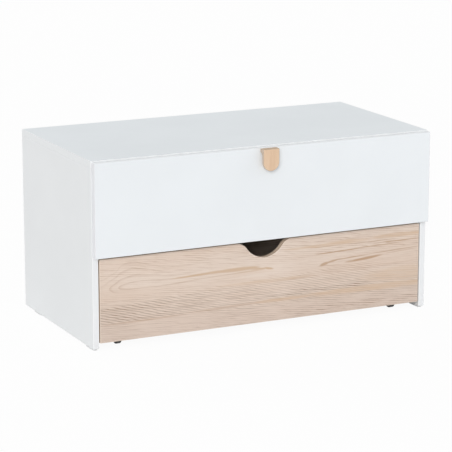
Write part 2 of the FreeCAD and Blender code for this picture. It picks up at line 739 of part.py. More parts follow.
def pull_cove(body):
    """Side view of the finger gap: a quarter circle under the block, then straight down."""
    past_end = -PULL_TALL - OVERRUN
    cove_low = -PULL_BLOCK - PULL_GAP
    points = [(0, -PULL_BLOCK), (-PULL_GAP, cove_low), (-PULL_GAP, past_end), (OVERRUN, past_end),
              (OVERRUN, -PULL_BLOCK)]
    corners = [as_vector(point) for point in points]
    cove_circle = Part.Circle(Vector(0, cove_low.value, 0), Vector(0, 0, 1), PULL_GAP.value)
    sketch = attached_sketch(body, "pull_cove", "YZ_Plane")
    sketch.addGeometry(Part.ArcOfCircle(cove_circle, math.pi / 2, math.pi))
    for start, end in zip(corners[1:], corners[2:] + corners[:1]):
        sketch.addGeometry(Part.LineSegment(start, end))
    for index in range(len(corners)):
        sketch.addConstraint(Sketcher.Constraint("Coincident", index, 2, (index + 1) % len(corners), 1))
    for index, corner in enumerate(points):
        pin(sketch, index, 1, corner)
    pin(sketch, 0, 3, (None, cove_low))
    return sketch


def pull_blank():
    """The pull before its screw holes."""
    body = doc.addObject("PartDesign::Body", "upper_pull_blank")
    pad(body, pull_face(body), PULL_REACH)
    doc.recompute()
    solid_volume = body.Shape.Volume
    pocket = body.newObject("PartDesign::Pocket", "pull_cove_pocket")
    pocket.Profile = pull_cove(body)
    pocket.Type = "ThroughAll"
    pocket.Midplane = True
    doc.recompute()
    if body.Shape.Volume > 0.8 * solid_volume:
        raise RuntimeError("the pull's finger gap was not cut")
    eased = fillet(body, pocket, PULL_ROUND, lambda edge: in_plane_y(edge, -PULL_REACH.value))
    lower_lip = -PULL_TALL.value / 2
    fillet(body, eased, PULL_INNER_ROUND,
           lambda edge: in_plane_y(edge, -PULL_GAP.value) and edge.BoundBox.ZMin < lower_lip)
    place(body, (as_size(0), OVERLAY_FACE, front_high - PULL_DROP))
    return body


pull_screws = []
pull_shank = BOARD - PULL_SCREW_SINK + PULL_SCREW_BITE
for number, sign in enumerate((-1, 1)):
    spot = (sign * PULL_SCREW_PITCH / 2, OVERLAY_BACK, front_high - PULL_DROP - PULL_BLOCK / 2)
    screw = (spot, "-Y", PULL_SCREW_HEAD, PULL_SCREW_SINK, PULL_SCREW, pull_shank)
    pull_screws.append(stepped(f"pull_screw_{number}", *screw))
    drill([stepped(f"pull_screw_hole_{number}", *screw, spread=FIT)], "upper_front", "upper_pull")
grouped("pull_screws", pull_screws)
machined("upper_pull", pull_blank())
machined("upper_front", front_blank)

# Wood front of the lower drawer, set between the side panels, with a scooped hand-hole
wood_half = INNER - WOOD_GAP
scoop_low = WOOD_HIGH - SCOOP_DEEP
wood_corners = [(-wood_half, WOOD_LOW), (wood_half, WOOD_LOW), (wood_half, WOOD_HIGH),
                (SCOOP_TOP / 2, WOOD_HIGH), (SCOOP_BOTTOM / 2, scoop_low),
                (-SCOOP_BOTTOM / 2, scoop_low), (-SCOOP_TOP / 2, WOOD_HIGH), (-wood_half, WOOD_HIGH)]
wood = extruded("lower_front_blank", "XZ_Plane", wood_corners, BOARD,
                (as_size(0), WOOD_BACK, as_size(0)))


def scoop_edges(x, z):
    """Test for the pair of scoop edges at x either side of the middle, at height z."""
    return lambda edge: any(along_y_at(edge, sign * x.value, z.value) for sign in (-1, 1))


curved = fillet(wood, wood.Tip, SCOOP_ROUND, scoop_edges(SCOOP_BOTTOM / 2, scoop_low))
curved = fillet(wood, curved, SCOOP_LIP, scoop_edges(SCOOP_TOP / 2, WOOD_HIGH))
fillet(wood, curved, ARRIS, lambda edge: in_plane_y(edge, 0) or in_plane_y(edge, -BOARD.value))

# Lower drawer box: sides, back and a load-bearing bottom between them
crate_inner = CRATE_HALF - BOARD
floor_low = CASTOR_TALL
lower_fittings = []
lower_box_screws = []
for side, sign in SIDES:
    label = f"lower_{side}_side"
    out = outward(sign)
    low = (side_low(sign, crate_inner, BOARD), WOOD_BACK, CRATE_LOW)
    blank = box(label + "_block", low, (BOARD, CRATE_DEEP, CRATE_TALL))
    spots = []
    for number in range(2):
        z = CRATE_LOW + CRATE_CAM_RISE + number * CAM_PITCH
        point = (sign * (CRATE_HALF - BOARD / 2), WOOD_BACK, z)
        lower_fittings.append(cam_joint(f"{label}_cam_{number}", point, "-Y", opposite(out),
                                        (label, "lower_front")))
        z = CRATE_LOW + CRATE_SCREW_RISE + number * CAM_PITCH
        spots.append(("lower_back", (sign * CRATE_HALF, CRATE_REAR - BOARD / 2, z)))
        y = (WOOD_BACK + CRATE_REAR) / 2 + (number - 0.5) * FLOOR_SCREW_PITCH
        spots.append(("lower_bottom", (sign * CRATE_HALF, y, floor_low + BOARD / 2)))
    for number, (board, spot) in enumerate(spots):
        screw = (spot, opposite(out), BOX_SCREW_HEAD, BOX_SCREW_SINK, BOX_SCREW, BOX_SCREW_LONG)
        lower_box_screws.append(stepped(f"{label}_screw_{number}", *screw))
        drill([stepped(f"{label}_screw_hole_{number}", *screw, spread=FIT)], label, board)
    machined(label, blank)
grouped("lower_cams", [lock for lock, bolt in lower_fittings])
grouped("lower_bolts", [bolt for lock, bolt in lower_fittings])
grouped("lower_box_screws", lower_box_screws)
machined("lower_front", wood)
machined("lower_back", box("lower_back_block", (-crate_inner, CRATE_REAR - BOARD, CRATE_LOW),
                           (2 * crate_inner, BOARD, CRATE_TALL)))

# Four fixed castors under the bottom: a plate with two cheeks, an axle and a wheel
AXLE_Z = WHEEL / 2
CHEEK_IN = WHEEL_WIDE / 2 + CHEEK_PLAY
AXLE_HALF = CHEEK_IN + CHEEK
CHEEK_HIGH = CASTOR_TALL - PLATE


def castor_cheeks(label, x, y):
    """Two tapered cheeks, each with a round boss about the axle."""
    corners = [(-CHEEK_LONG / 2, CHEEK_HIGH), (-BOSS / 2, AXLE_Z), (BOSS / 2, AXLE_Z),
               (CHEEK_LONG / 2, CHEEK_HIGH)]
    shapes = []
    for flank in (-1, 1):
        cheek_x = x + side_low(flank, CHEEK_IN, CHEEK)
        name = f"{label}_cheek_{flank + 1}"
        shapes.append(extruded(name, "YZ_Plane", corners, CHEEK, (cheek_x, y, as_size(0))))
        shapes.append(rod(name + "_boss", (cheek_x, y, AXLE_Z), "+X", BOSS, CHEEK))
    return shapes


def castor_housing(label, x, y):
    """Plate and cheeks; returns the screws that hold the plate to the drawer bottom."""
    low = (x - PLATE_WIDE / 2, y - PLATE_LONG / 2, CHEEK_HIGH)
    shapes = [box(f"{label}_plate", low, (PLATE_WIDE, PLATE_LONG, PLATE))] + castor_cheeks(label, x, y)
    bore = AXLE + 2 * AXLE_PLAY
    holes = [rod(f"{label}_axle_hole", (x - AXLE_HALF, y, AXLE_Z), "+X", bore, 2 * AXLE_HALF)]
    screws = []
    for across in (-1, 1):
        for along in (-1, 1):
            spot = (x + across * CASTOR_SCREW_ACROSS / 2, y + along * CASTOR_SCREW_ALONG / 2,
                    CHEEK_HIGH - CASTOR_SCREW_TALL)
            name = f"{label}_castor_screw_{len(screws)}"
            screws.append(stepped(name, spot, "+Z", CASTOR_SCREW_HEAD, CASTOR_SCREW_TALL,
                                  CASTOR_SCREW, CASTOR_SCREW_LONG))
            hole = rod(name + "_hole", spot, "+Z", CASTOR_SCREW + 2 * FIT,
                       CASTOR_SCREW_TALL + CASTOR_SCREW_LONG + FIT)
            holes.append(hole)
            drill([hole], "lower_bottom")
    finished(cut(f"{label}_castor_housing", fused(f"{label}_castor_blank", shapes), holes))
    return screws


def castor_axle(label, x, y):
    """Axle with a flat head outside each cheek."""
    shapes = [rod(f"{label}_axle_shaft", (x - AXLE_HALF, y, AXLE_Z), "+X", AXLE, 2 * AXLE_HALF)]
    for flank in (-1, 1):
        head_x = x + side_low(flank, AXLE_HALF, AXLE_HEAD_TALL)
        shapes.append(rod(f"{label}_axle_head_{flank + 1}", (head_x, y, AXLE_Z), "+X", AXLE_HEAD,
                          AXLE_HEAD_TALL))
    return fused(f"{label}_axle", shapes)


def castor_wheel(label, x, y):
    """Turned wheel: a hub, a thin web and a rim with a rounded tread."""
    rim_half = WHEEL_WIDE / 2 - WHEEL_STEP
    half = [(WHEEL_WIDE / 2, AXLE / 2 + AXLE_PLAY), (WHEEL_WIDE / 2, HUB / 2),
            (WEB / 2, HUB / 2 + WHEEL_STEP), (WEB / 2, RIM / 2 - WHEEL_STEP),
            (rim_half, RIM / 2), (rim_half, WHEEL / 2)]
    section = half + [(-across, radius) for across, radius in reversed(half)]
    wheel = doc.addObject("PartDesign::Body", f"{label}_wheel")
    sketch = outline(wheel, f"{label}_wheel_section", "XZ_Plane", section)
    turned = wheel.newObject("PartDesign::Revolution", f"{label}_wheel_turned")
    turned.Profile = sketch
    turned.ReferenceAxis = (sketch, ["H_Axis"])
    turned.Angle = 360
    fillet(wheel, turned, TREAD_ROUND, lambda edge: is_ring(edge, rim_half.value, WHEEL.value / 2))
    place(wheel, (x, y, AXLE_Z))
    return finished(wheel)


def is_ring(edge, across, radius):
    """True for a full circle about X of a radius, at a distance either side of the middle."""
    circle = edge.Curve
    if not isinstance(circle, Part.Circle):
        return False
    return abs(circle.Radius - radius) < NEAR and abs(abs(circle.Center.x) - across) < NEAR


axles = []
castor_screws = []
for side, sign in SIDES:
    for row, y in (("front", FRONT + CASTOR_IN), ("rear", CRATE_REAR - CASTOR_IN)):
        spot = (f"{row}_{side}", sign * CASTOR_OUT, y)
        castor_screws += castor_housing(*spot)
        axles.append(castor_axle(*spot))
        castor_wheel(*spot)
grouped("castor_axles", axles)
grouped("castor_screws", castor_screws)
machined("lower_bottom", box("lower_bottom_block", (-crate_inner, WOOD_BACK, floor_low),
                             (2 * crate_inner, CRATE_DEEP - BOARD, BOARD)))

# Check every object, then write one file for each sub-part.
doc.recompute()
failed = [obj.Label for obj in doc.Objects if {"Invalid", "Error"} & set(obj.State)]
failed += [part.Label for part in subparts if part.Shape.isNull() or not part.Shape.isValid()]
if failed:
    raise RuntimeError("not built: " + ", ".join(failed))
os.makedirs("parts", exist_ok=True)
for part in subparts:
    part.Shape.exportStep(f"parts/{part.Label}.step")
    print(part.Label, len(part.Shape.Solids), round(part.Shape.Volume))
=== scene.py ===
import math

import bpy
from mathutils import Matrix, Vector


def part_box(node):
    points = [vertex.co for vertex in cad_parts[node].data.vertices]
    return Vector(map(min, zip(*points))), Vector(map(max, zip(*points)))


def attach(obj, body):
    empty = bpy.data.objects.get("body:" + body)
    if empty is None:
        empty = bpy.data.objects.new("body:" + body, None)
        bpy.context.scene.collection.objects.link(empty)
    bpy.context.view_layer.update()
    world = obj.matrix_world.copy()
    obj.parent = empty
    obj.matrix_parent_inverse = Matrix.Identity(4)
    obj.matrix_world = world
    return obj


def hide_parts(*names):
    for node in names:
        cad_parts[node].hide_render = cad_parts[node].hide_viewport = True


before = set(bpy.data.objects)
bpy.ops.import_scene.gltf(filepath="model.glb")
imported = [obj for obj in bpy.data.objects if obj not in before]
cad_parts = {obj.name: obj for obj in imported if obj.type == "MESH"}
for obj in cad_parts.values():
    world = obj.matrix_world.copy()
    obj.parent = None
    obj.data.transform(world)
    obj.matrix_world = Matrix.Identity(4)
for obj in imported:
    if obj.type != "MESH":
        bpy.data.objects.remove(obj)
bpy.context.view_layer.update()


# Carcass boards: two sides, the top lying on them, the middle shelf and the rear rail.
# Chipboard faced with white melamine; every cut edge carries a white band about 1 mm thick,
# and cam fittings and dowels hold the boards together.

MM = 0.001
SIDEWAYS, OUTWARDS, UPWARDS = range(3)
MELAMINE = (233, 238, 241)
# The sides' white is lighter and warmer than the top's: painted light, for the light falling on them.
MELAMINE_SIDE_LIT = (240, 242, 243)
MELAMINE_SEAM = (214, 216, 218)
MELAMINE_FALL = 2
MELAMINE_CLOUD = 180 * MM
MELAMINE_PEEL = 1.3 * MM
MELAMINE_RELIEF = 0.03 * MM
MELAMINE_ROUGH = 0.66
MELAMINE_GLOSS = 0.32
CLOUD_ROUGH = 0.1
PEEL_ROUGH = 0.04
BAND = 1.0 * MM
BAND_SEAM = 0.16 * MM
# How far the painted highlight on the side boards' front and rear arrises reaches from their faces.
PAINTED_HIGHLIGHT_REACH = 1.8 * MM
BAND_WHITE = (240, 242, 243)
BAND_SIDE = (238, 240, 242)
# The top's front edge band, painted paler than the other bands as a highlight.
BAND_FRONT_HIGHLIGHT = (247, 249, 250)
# The white of that painted highlight.
PAINTED_ARRIS_HIGHLIGHT = (244, 246, 247)
SEAM_SHARE = 0.55
# Noise strays about its mean; between these two levels one colour turns into the other.
NOISE_MEAN = 0.5
PATCHES = (0.3, 0.7)


def shade(red, green, blue):
    """A colour as a paint chart gives it, 0 to 255, in the shader's own scale."""
    def linear(level):
        level = level / 255
        return level / 12.92 if level <= 0.04045 else ((level + 0.055) / 1.055) ** 2.4
    return (linear(red), linear(green), linear(blue), 1.0)


class Tone:
    """One value of a finish as it changes over a surface; sums of tones add their Math nodes."""

    def __init__(self, tree, socket):
        self.tree = tree
        self.socket = socket

    def node(self, kind, settings, inlets, outlet=0):
        """Adds a shader node: its settings first, then the values or links of its sockets."""
        made = self.tree.nodes.new(kind)
        for name, value in settings.items():
            if name == "stops":
                ramp = made.color_ramp
                ramp.interpolation = value["between"]
                while len(ramp.elements) < len(value["at"]):
                    ramp.elements.new(1.0)
                for stop, (spot, level) in zip(ramp.elements, value["at"]):
                    stop.position = spot
                    stop.color = (level, level, level, 1.0)
            else:
                setattr(made, name, value)
        for name, value in inlets.items():
            if isinstance(value, Tone):
                self.tree.links.new(value.socket, made.inputs[name])
            else:
                made.inputs[name].default_value = value
        return Tone(self.tree, made.outputs[outlet])

    def math(self, operation, *values):
        return self.node("ShaderNodeMath", {"operation": operation}, dict(enumerate(values)))

    def __add__(self, other):
        return self.math("ADD", self, other)

    __radd__ = __add__

    def __sub__(self, other):
        return self.math("SUBTRACT", self, other)

    def __rsub__(self, other):
        return self.math("SUBTRACT", other, self)

    def __mul__(self, other):
        return self.math("MULTIPLY", self, other)

    __rmul__ = __mul__

    def __truediv__(self, other):
        return self.math("DIVIDE", self, other)

    def __pow__(self, other):
        return self.math("POWER", self, other)

    def __abs__(self):
        return self.math("ABSOLUTE", self)

    def fade(self, start, end):
        """0 before start and 1 past end, eased between them; start may be the larger one."""
        return self.node("ShaderNodeMapRange", {"interpolation_type": "SMOOTHSTEP"},
                         {"Value": self, "From Min": start, "From Max": end})

    def blend(self, first, second):
        """The first colour where this tone is 0, the second where it is 1."""
        return self.node("ShaderNodeMix", {"data_type": "RGBA"},
                         {0: self, 6: first, 7: second}, outlet=2)

    def axes(self):
        """The three parts of a place or of a direction."""
        return [self.node("ShaderNodeSeparateXYZ", {}, {0: self}, outlet=axis) for axis in range(3)]

    def facing(self):
        """How far the surface faces sideways, outwards and upwards."""
        return self.node("ShaderNodeNewGeometry", {}, {}, outlet="Normal").axes()

    def noise(self, grain, detail, shift=(0.0, 0.0, 0.0)):
        """Cloudy noise at a place; grain is one cloud's length, or its length along each axis."""
        lengths = grain if isinstance(grain, (list, tuple)) else (grain, grain, grain)
        spot = self.node("ShaderNodeMapping", {}, {
            "Vector": self, "Location": shift, "Scale": [1.0 / length for length in lengths]})
        return self.node("ShaderNodeTexNoise", {}, {"Vector": spot, "Scale": 1.0, "Detail": detail})


def new_finish(name):
    """A bare material, its shader, and the place on the piece as the tone to start from."""
    material = bpy.data.materials.new(name)
    material.use_nodes = True
    tree = material.node_tree
    spot = tree.nodes.new("ShaderNodeTexCoord").outputs["Object"]
    return material, tree.nodes["Principled BSDF"], Tone(tree, spot)


def lay_finish(shader, place, inlets, relief, depth):
    """Feeds a shader: links for what varies, plain values for the rest, relief as a bump."""
    bump = place.node("ShaderNodeBump", {}, {"Height": relief, "Distance": depth})
    for name, value in {**inlets, "Normal": bump}.items():
        if isinstance(value, Tone):
            place.tree.links.new(value.socket, shader.inputs[name])
        else:
            shader.inputs[name].default_value = value


def dress(material, *nodes):
    """Puts a finish on CAD nodes."""
    for name in nodes:
        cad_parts[name].material_slots[0].material = material


def within(depth, width):
    """1 where a depth inside a board is less than a width, with a fine border."""
    return depth.fade(width + BAND_SEAM, width - BAND_SEAM)


def white_board(node, face, rough=MELAMINE_ROUGH, band=BAND_WHITE, own_bands=None, front_highlight=None):
    """White melamine for one board, with the seam of its edge bands a millimetre from each arris.
    own_bands gives the bands across an axis a white of their own; the last argument paints a highlight
    on the front and rear arrises."""
    material, shader, place = new_finish("white_" + node)
    low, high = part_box(node)
    middle = (low + high) / 2
    half = (high - low) / 2
    thin = min(range(3), key=lambda axis: half[axis])
    inside = [half[axis] - abs(along - middle[axis]) for axis, along in enumerate(place.axes())]
    from_edge = place.math("MINIMUM", *(inside[axis] for axis in range(3) if axis != thin))
    seam = abs(from_edge - BAND).fade(BAND_SEAM, BAND_SEAM / 3)
    cloud = place.noise(MELAMINE_CLOUD, detail=3.0)
    peel = place.noise(MELAMINE_PEEL, detail=2.0)
    duller = [level - MELAMINE_FALL for level in face]
    skin = cloud.fade(*PATCHES).blend(shade(*face), shade(*duller))
    skin = within(from_edge, BAND).blend(skin, shade(*band))
    for axis, white in (own_bands or {}).items():
        skin = within(inside[axis], BAND).blend(skin, shade(*white))
    # A painted highlight: a paler white near either face along the front and rear arrises.
    if front_highlight is not None:
        arris_highlight = within(inside[thin], PAINTED_HIGHLIGHT_REACH) * within(inside[OUTWARDS], BAND)
        skin = arris_highlight.blend(skin, shade(*front_highlight))
    lay_finish(shader, place, {
        "Base Color": (SEAM_SHARE * seam).blend(skin, shade(*MELAMINE_SEAM)),
        "Roughness": rough + CLOUD_ROUGH * (cloud - NOISE_MEAN) + PEEL_ROUGH * peel,
        "Specular IOR Level": MELAMINE_GLOSS,
    }, relief=peel - seam, depth=MELAMINE_RELIEF)
    dress(material, node)


# The sides' lighter white is painted light.
for board in ("left_side_panel", "right_side_panel"):
    white_board(board, MELAMINE_SIDE_LIT, band=BAND_SIDE, front_highlight=PAINTED_ARRIS_HIGHLIGHT)
# The top's front edge band is painted paler, as a painted highlight.
white_board("top_panel", MELAMINE, own_bands={OUTWARDS: BAND_FRONT_HIGHLIGHT})
for board in ("middle_shelf", "rear_rail"):
    white_board(board, MELAMINE)


# Back panel and the upper drawer's bottom: thin hardboard painted white on its good side.
# The panel slides into grooves in the sides and the top; the bottom into the drawer boards.

HARDBOARD = (234, 236, 236)
HARDBOARD_DULL = (230, 231, 230)
SOFT_GLOSS = 0.35


def grained(name, pale, dark, grain, detail, patches, rough, rough_more, depth, cloud=None, **plain):
    """A finish whose grain gives its relief, makes it up to rough_more rougher, and tints it,
    unless larger clouds do that; plain holds what is the same all over."""
    material, shader, place = new_finish(name)
    fine = place.noise(grain, detail)
    tint = fine if cloud is None else place.noise(cloud, detail)
    lay_finish(shader, place, {
        "Base Color": tint.fade(*patches).blend(shade(*pale), shade(*dark)),
        "Roughness": rough + rough_more * fine,
        **plain,
    }, relief=fine, depth=depth)
    return material


hardboard = grained("white_hardboard", HARDBOARD, HARDBOARD_DULL, grain=2.2 * MM, cloud=120 * MM,
                    detail=3.0, patches=(0.25, 0.75), rough=0.5, rough_more=0.15, depth=0.08 * MM,
                    **{"Specular IOR Level": SOFT_GLOSS})
dress(hardboard, "back_panel", "upper_bottom")


# Cam locks of the carcass and of both drawer boxes: zinc die castings set flush in the boards.
# They turn on the heads of the cam bolts and pull each joint together.

ZINC = (176, 178, 180)
ZINC_DARK = (128, 130, 133)
METAL_CLOUD = 6 * MM
METAL_GRAIN_ROUGH = 0.15
METAL_CLOUD_ROUGH = 0.1


def bare_metal(name, light, dark, rough, grain, depth):
    """Bare or plated metal with a slightly cloudy skin and a fine surface grain."""
    material, shader, place = new_finish(name)
    cloud = place.noise(METAL_CLOUD, detail=3.0)
    fine = place.noise(grain, detail=2.0)
    uneven = METAL_GRAIN_ROUGH * (fine - NOISE_MEAN) + METAL_CLOUD_ROUGH * (cloud - NOISE_MEAN)
    lay_finish(shader, place, {
        "Base Color": cloud.fade(*PATCHES).blend(shade(*light), shade(*dark)),
        "Metallic": 1.0,
        "Roughness": rough + uneven,
    }, relief=fine, depth=depth)
    return material


zinc = bare_metal("zinc_casting", ZINC, ZINC_DARK, rough=0.42, grain=0.4 * MM, depth=0.05 * MM)
dress(zinc, "carcass_cams", "upper_cams", "lower_cams")


# Cam bolts, screws and castor axles: steel, turned or cold headed, and zinc plated bright.
# The bolts and screws are driven into the wood; each axle carries one castor wheel.

STEEL = (206, 207, 209)
STEEL_DARK = (168, 170, 174)

plated_steel = bare_metal("plated_steel", STEEL, STEEL_DARK, rough=0.3, grain=0.8 * MM, depth=0.01 * MM)
dress(plated_steel, "carcass_bolts", "upper_bolts", "lower_bolts", "runner_cabinet_screws",
      "runner_drawer_screws", "upper_back_screws", "lower_box_screws", "pull_screws",
      "castor_screws", "castor_axles")


# Dowels: short turned beech pegs, glued across the carcass joints.
# They keep the boards in line while the cams pull them together.

DOWEL_PALE = (214, 184, 148)
DOWEL_DARK = (190, 154, 114)

dowel_wood = grained("dowel_wood", DOWEL_PALE, DOWEL_DARK, grain=(6 * MM, 0.5 * MM, 0.5 * MM),
                     detail=3.0, patches=PATCHES, rough=0.6, rough_more=0.1, depth=0.1 * MM)
dress(dowel_wood, "carcass_dowels")


# Glides: white moulded plastic feet, pressed into the undersides of the two side boards.
# They lift the boards off the floor and are scuffed where they slide on it.

GLIDE_WHITE = (228, 229, 230)
GLIDE_SCUFF = (208, 208, 206)
GLIDE_GRAIN = 0.6 * MM
GLIDE_RELIEF = 0.02 * MM
GLIDE_ROUGH = 0.4
GRAIN_ROUGH = 0.1
SCUFF = 3 * MM
SCUFF_HIGH = 2.5 * MM
SCUFF_PATCHES = (0.4, 0.7)
SCUFF_ROUGH = 0.2

glide_plastic, shader, place = new_finish("glide_plastic")
matt = place.noise(GLIDE_GRAIN, detail=2.0)
low_down = place.axes()[UPWARDS].fade(SCUFF_HIGH, 0.0)
scuff = low_down * place.noise(SCUFF, detail=3.0).fade(*SCUFF_PATCHES)
lay_finish(shader, place, {
    "Base Color": scuff.blend(shade(*GLIDE_WHITE), shade(*GLIDE_SCUFF)),
    "Roughness": GLIDE_ROUGH + GRAIN_ROUGH * matt + SCUFF_ROUGH * scuff,
}, relief=matt, depth=GLIDE_RELIEF)
dress(glide_plastic, "front_left_glide", "front_right_glide", "rear_left_glide", "rear_right_glide")


# Ball runners of the upper drawer: roll-formed steel strip, zinc plated, in three members a side.
# Rolling leaves fine lines along the strip; the outer member is screwed to the carcass and the
# inner one to the drawer.

SIDES = ("left", "right")
RUNNER = (190, 193, 196)
RUNNER_DARK = (150, 153, 157)
RUNNER_LINES = (0.35 * MM, 60 * MM, 0.35 * MM)
RUNNER_CLOUD = (25 * MM, 60 * MM, 25 * MM)
RUNNER_RELIEF = 0.01 * MM
RUNNER_ROUGH = 0.28
LINES_ROUGH = 0.15
LINES_SHARE = 0.5

runner_steel, shader, place = new_finish("runner_steel")
drawn = place.noise(RUNNER_LINES, detail=3.0)
cloud = place.noise(RUNNER_CLOUD, detail=3.0)
tint = (LINES_SHARE * drawn + (1 - LINES_SHARE) * cloud).fade(*PATCHES)
lay_finish(shader, place, {
    "Base Color": tint.blend(shade(*RUNNER), shade(*RUNNER_DARK)),
    "Metallic": 1.0,
    "Roughness": RUNNER_ROUGH + LINES_ROUGH * drawn,
}, relief=drawn, depth=RUNNER_RELIEF)
for side in SIDES:
    dress(runner_steel, *(f"{side}_runner_{member}" for member in ("outer", "middle", "inner")))


# Ball cages of the runners: thin steel channels with two rows of balls, each loose in its hole.
# A cage rolls along between two members, at the mean of their speeds.

CAGE = (182, 176, 160)
CAGE_DARK = (140, 134, 118)

cage_steel = bare_metal("cage_steel", CAGE, CAGE_DARK, rough=0.3, grain=0.5 * MM, depth=0.01 * MM)
dress(cage_steel, *(f"{side}_{row}_ball_cage" for side in SIDES for row in ("outer", "inner")))


# Upper drawer box: two sides and a back of thin white board.
# The sides are cammed to the front and screwed to the back.

BOX_WHITE = (234, 236, 237)

for board in ("upper_left_side", "upper_right_side", "upper_back"):
    white_board(board, BOX_WHITE)


# Upper drawer front: a white board that covers the front edges of the carcass, a small gap off.
# Same melamine as the carcass, a little smoother; the drawer box is cammed to its back.

# The front's white is lighter than the top's: painted light, for the light falling on the front.
FRONT_WHITE_LIT = (239, 243, 246)
FRONT_BAND = (234, 237, 239)
FRONT_END = (239, 240, 243)
FRONT_ROUGH = 0.6

white_board("upper_front", FRONT_WHITE_LIT, FRONT_ROUGH, FRONT_BAND, own_bands={SIDEWAYS: FRONT_END})


# Bumpers: four small discs of clear rubber behind the corners of the upper front.
# They stand in its gap to the carcass and soften the stop when the drawer is pushed shut.

BUMPER = (214, 215, 214)
BUMPER_DUST = (192, 192, 189)

bumper_rubber = grained("bumper_rubber", BUMPER, BUMPER_DUST, grain=1.5 * MM, detail=3.0,
                        patches=(0.5, 0.8), rough=0.65, rough_more=0.15, depth=0.03 * MM)
dress(bumper_rubber, "front_bumpers")


# Pull: a tongue of solid beech, square on top and round below, with the grain upright.
# A block at its top is screwed on from inside the drawer; below it the lip stands free for fingers.

BEECH = (232, 203, 175)
BEECH_DARK = (220, 187, 155)
BEECH_FLECK = (198, 156, 120)
BEECH_END = (188, 163, 136)
# The pull's sides and underside are painted darker: painted shade.
BEECH_SIDE_SHADE = (204, 185, 167)
BEECH_BAND = (7 * MM, 9 * MM, 120 * MM)
BEECH_FIBRE = (0.45 * MM, 0.6 * MM, 16 * MM)
BEECH_RAYS = (0.6 * MM, 1.2 * MM, 3.2 * MM)
BEECH_PATCHES = (0.32, 0.7)
BEECH_RELIEF = 0.06 * MM
BEECH_ROUGH = 0.46
BAND_SHARE = 0.6
FLECK_PATCHES = (0.66, 0.76)
FLECK_SHARE = 0.45
FLECK_DEEP = 0.5
FIBRE_ROUGH = 0.12
SIDE_SHADE_FACING = (0.97, 0.72)
END_FACING = (0.45, 0.85)

beech, shader, place = new_finish("beech")
facing = place.facing()
band = place.noise(BEECH_BAND, detail=3.0)
fibre = place.noise(BEECH_FIBRE, detail=3.0, shift=(3.0, 0.0, 0.0))
fleck = place.noise(BEECH_RAYS, detail=1.0, shift=(0.0, 5.0, 0.0)).fade(*FLECK_PATCHES)
tint = (BAND_SHARE * band + (1 - BAND_SHARE) * fibre).fade(*BEECH_PATCHES)
grain = tint.blend(shade(*BEECH), shade(*BEECH_DARK))
grain = (FLECK_SHARE * fleck).blend(grain, shade(*BEECH_FLECK))
# Faces turned away from the front get the painted shade.
grain = abs(facing[OUTWARDS]).fade(*SIDE_SHADE_FACING).blend(grain, shade(*BEECH_SIDE_SHADE))
lay_finish(shader, place, {
    "Base Color": facing[UPWARDS].fade(*END_FACING).blend(grain, shade(*BEECH_END)),
    "Roughness": BEECH_ROUGH + FIBRE_ROUGH * fibre,
    "Specular IOR Level": SOFT_GLOSS,
}, relief=fibre - FLECK_DEEP * fleck, depth=BEECH_RELIEF)
dress(beech, "upper_pull")


# Lower drawer box: sides, back and floor of chipboard in the same pale wood decor as its front.
# The boards are cammed to the front and screwed together, and the floor stands on the castors.

DECOR = (225, 206, 191)
DECOR_PALE = (231, 215, 201)
DECOR_LINE = (200, 174, 155)
# Each grain of the decor: how long it runs, and how wide it is.
DECOR_CLOUD = (350 * MM, 22 * MM)
DECOR_STRIPE = (300 * MM, 3.2 * MM)
DECOR_FIBRE = (50 * MM, 0.5 * MM)
DECOR_RELIEF = 0.03 * MM
DECOR_ROUGH = 0.5
DECOR_FIBRE_ROUGH = 0.1
STRIPE_PATCHES = (0.5, 0.75)
STRIPE_SHARE = 0.5
FIBRE_SHARE = 0.2


def box_decor(name, along, nodes):
    """Plain straight-grained wood decor with its grain along one axis."""
    material, shader, place = new_finish(name)

    def grain(sizes, detail):
        long, wide = sizes
        return place.noise([long if axis == along else wide for axis in range(3)], detail)

    fibre = grain(DECOR_FIBRE, 2.0)
    line = STRIPE_SHARE * grain(DECOR_STRIPE, 2.0).fade(*STRIPE_PATCHES) + FIBRE_SHARE * fibre
    ground = grain(DECOR_CLOUD, 3.0).fade(*PATCHES).blend(shade(*DECOR), shade(*DECOR_PALE))
    lay_finish(shader, place, {
        "Base Color": line.blend(ground, shade(*DECOR_LINE)),
        "Roughness": DECOR_ROUGH + DECOR_FIBRE_ROUGH * fibre,
        "Specular IOR Level": SOFT_GLOSS,
    }, relief=fibre, depth=DECOR_RELIEF)
    dress(material, *nodes)


box_decor("box_decor_sides", OUTWARDS, ("lower_left_side", "lower_right_side"))
box_decor("box_decor_cross", SIDEWAYS, ("lower_back", "lower_bottom"))


# Lower drawer front: chipboard in pale larch decor, its grain lying across the drawer.
# A scooped hand-hole is cut in its top edge, eased along the front and closed with a decor band.

FRONT_LOW, FRONT_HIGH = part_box("lower_front")
SCOOP_TOP = 58.5 * MM
SCOOP_BOTTOM = 31.5 * MM
SCOOP_DEEP = 41.5 * MM
# How far each curve of the scoop runs along the edges that it joins: the lower curve, with a
# radius of 57.5 mm, and the curve at the lip, with one of 30 mm.
SCOOP_ROUND = 31.18 * MM
SCOOP_LIP = 16.27 * MM
SCOOP_STEPS = 14
ARRIS = 1.2 * MM
ARRIS_STEPS = 3
ARRIS_ANGLE = math.radians(40)
SMOOTH_ANGLE = math.radians(30)
TOUCH = 0.05 * MM


def select_edges(piece, wanted):
    """Selects the edges that wanted(first end, second end) accepts; run in edit mode."""
    bpy.ops.mesh.select_mode(type="EDGE")
    bpy.ops.mesh.select_all(action="DESELECT")
    bpy.ops.object.mode_set(mode="OBJECT")
    corners = piece.data.vertices
    for edge in piece.data.edges:
        edge.select = wanted(*(corners[i].co for i in edge.vertices))
    bpy.ops.object.mode_set(mode="EDIT")


